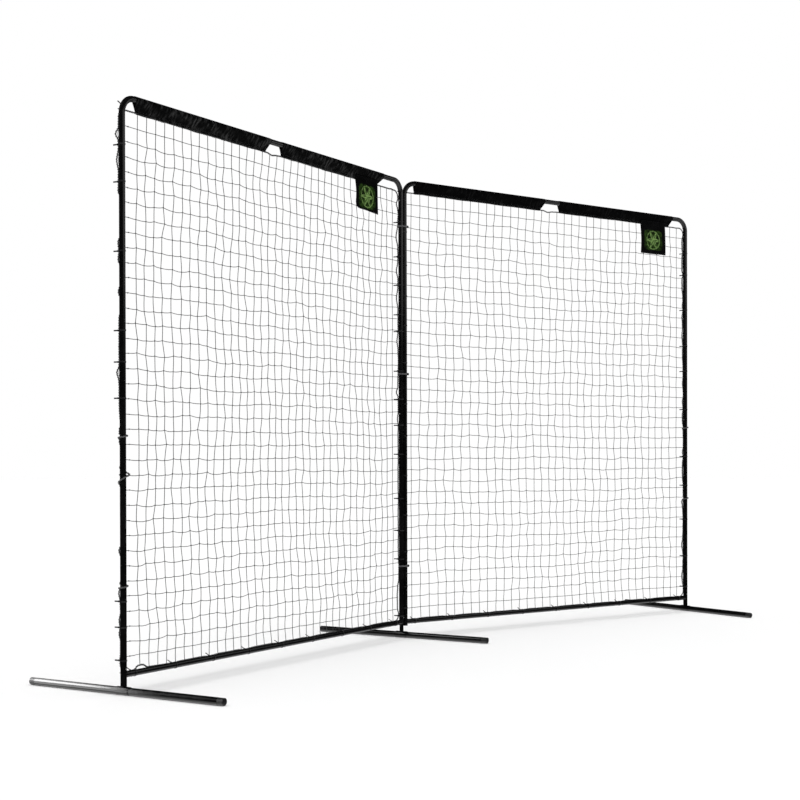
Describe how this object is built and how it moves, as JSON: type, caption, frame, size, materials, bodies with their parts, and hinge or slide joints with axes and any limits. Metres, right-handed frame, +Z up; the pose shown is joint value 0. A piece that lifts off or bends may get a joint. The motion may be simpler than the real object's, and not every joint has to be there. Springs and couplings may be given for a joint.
{
  "type": "freestanding ball-stop net screen",
  "caption": "Freestanding ball-stop screen: tube frames on cross feet carry taut square-mesh nets, and straps round the inner posts let one panel swing about the other.",
  "frame": {"origin": "on the ground, in the middle of the footprint", "axes": "+X along the screen from the left panel to the right panel, -Y the playing side inside the bend, +Z up"},
  "size_m": [5.538, 1.7768, 3.0018],
  "materials": {
    "frame_tube": "gloss black powder coat",
    "foot_tube": "gloss black powder coat",
    "spring_button": "plain zinc-plated spring steel",
    "net_twine": "knotted polyethylene twine, dark grey",
    "border_rope": "braided black cord",
    "cable_tie": "black nylon",
    "sleeve_cloth": "woven black polyester",
    "flap_cloth": "woven black polyester with a green print",
    "end_cap": "moulded black plastic",
    "coupling_strap": "light grey webbing"
  },
  "bodies": {
    "left_panel": {"left_outer_post_lower": "frame_tube", "left_outer_post_upper": "frame_tube", "left_outer_corner": "frame_tube", "left_top_rail_outer": "frame_tube", "left_top_rail_inner": "frame_tube", "left_inner_corner": "frame_tube", "left_inner_post_upper": "frame_tube", "left_inner_post_lower": "frame_tube", "left_bottom_rail_outer": "frame_tube", "left_bottom_rail_inner": "frame_tube", "left_spring_buttons": "spring_button", "left_net": "net_twine", "left_border_rope": "border_rope", "left_cable_ties": "cable_tie", "left_sleeve_outer": "sleeve_cloth", "left_sleeve_inner": "sleeve_cloth", "left_label_flap": "flap_cloth", "left_foot": "foot_tube", "left_foot_caps": "end_cap", "middle_foot": "foot_tube", "middle_foot_caps": "end_cap", "strap_lower": "coupling_strap", "strap_middle": "coupling_strap", "strap_upper": "coupling_strap"},
    "right_panel": {"right_outer_post_lower": "frame_tube", "right_outer_post_upper": "frame_tube", "right_outer_corner": "frame_tube", "right_top_rail_outer": "frame_tube", "right_top_rail_inner": "frame_tube", "right_inner_corner": "frame_tube", "right_inner_post_upper": "frame_tube", "right_inner_post_lower": "frame_tube", "right_bottom_rail_outer": "frame_tube", "right_bottom_rail_inner": "frame_tube", "right_spring_buttons": "spring_button", "right_net": "net_twine", "right_border_rope": "border_rope", "right_cable_ties": "cable_tie", "right_sleeve_outer": "sleeve_cloth", "right_sleeve_inner": "sleeve_cloth", "right_label_flap": "flap_cloth", "right_inner_post_cap": "end_cap", "right_foot": "foot_tube", "right_foot_caps": "end_cap"}
  },
  "joints": [
    {"name": "panel_swing", "type": "hinge", "parent": "left_panel", "child": "right_panel", "pos_m": [0.0175, 0.25947, 0], "axis": [0, 0, 1], "range_deg": [-67.5, 22.5]}
  ]
}
